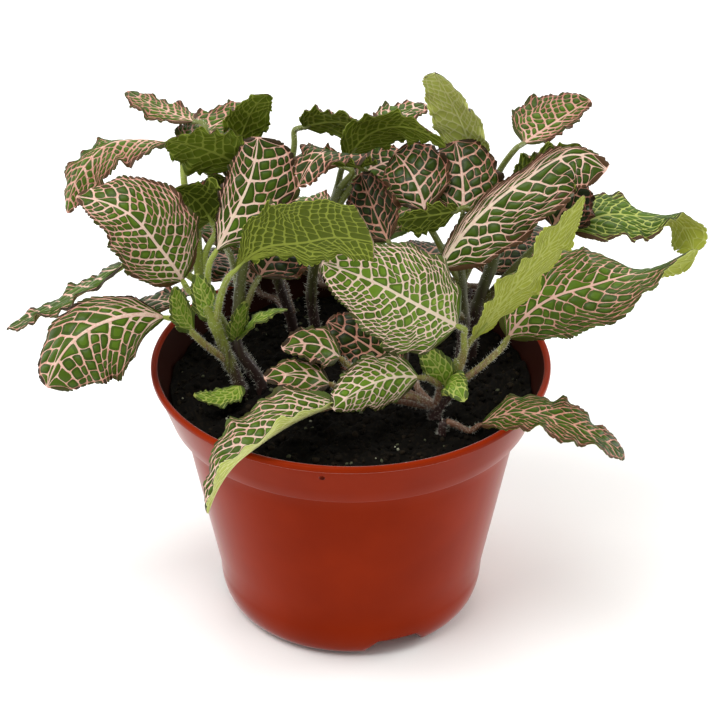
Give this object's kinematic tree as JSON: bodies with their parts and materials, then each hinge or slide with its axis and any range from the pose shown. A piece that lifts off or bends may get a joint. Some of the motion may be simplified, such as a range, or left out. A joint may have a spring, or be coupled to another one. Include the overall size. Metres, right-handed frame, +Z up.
{
  "type": "potted nerve plant",
  "caption": "Potted nerve plant: broad green leaves netted with pink veins on hairy branching stems, in a terracotta-coloured plastic nursery pot of dark peat.",
  "frame": {"origin": "centre of the pot's foot, on the surface that it stands on", "axes": "+Z up along the pot's axis, -Y towards the side seen in front"},
  "size_m": [0.2087, 0.1415, 0.1712],
  "materials": {
    "terracotta plastic": "satin moulded",
    "peat soil": "rough, crumbly",
    "stem": "hairy, matte",
    "leaf": "satin, veined"
  },
  "bodies": {
    "root": {"leaf_left_1": "leaf", "leaf_left_2": "leaf", "leaf_left_3": "leaf", "leaf_left_4": "leaf", "leaf_left_5": "leaf", "leaf_left_6": "leaf", "leaf_left_7": "leaf", "leaf_left_8": "leaf", "leaf_left_9": "leaf", "leaf_left_10": "leaf", "leaf_top_1": "leaf", "leaf_top_2": "leaf", "leaf_top_3": "leaf", "leaf_top_4": "leaf", "leaf_top_5": "leaf", "leaf_top_6": "leaf", "leaf_top_7": "leaf", "leaf_top_8": "leaf", "leaf_top_9": "leaf", "leaf_top_10": "leaf", "leaf_middle_1": "leaf", "leaf_middle_2": "leaf", "leaf_middle_3": "leaf", "leaf_middle_4": "leaf", "leaf_middle_5": "leaf", "leaf_middle_6": "leaf", "leaf_middle_7": "leaf", "leaf_right_1": "leaf", "leaf_right_2": "leaf", "leaf_right_3": "leaf", "leaf_right_4": "leaf", "leaf_right_5": "leaf", "leaf_right_6": "leaf", "leaf_right_7": "leaf", "leaf_front_1": "leaf", "leaf_front_2": "leaf", "leaf_front_3": "leaf", "leaf_front_4": "leaf", "leaf_front_5": "leaf", "leaf_back_1": "leaf", "leaf_back_2": "leaf", "leaf_back_3": "leaf", "leaf_back_4": "leaf", "leaf_back_5": "leaf", "leaf_back_6": "leaf", "leaf_back_7": "leaf", "leaf_back_8": "leaf", "stem_left_front": "stem", "stem_left_back": "stem", "stem_left_middle": "stem", "stem_left_far": "stem", "stem_middle": "stem", "stem_right_front": "stem", "stem_right_middle": "stem", "stem_right_back": "stem", "stem_far": "stem", "stem_right_far": "stem", "stem_right_low": "stem", "pot": "terracotta plastic", "soil": "peat soil"}
  },
  "joints": []
}
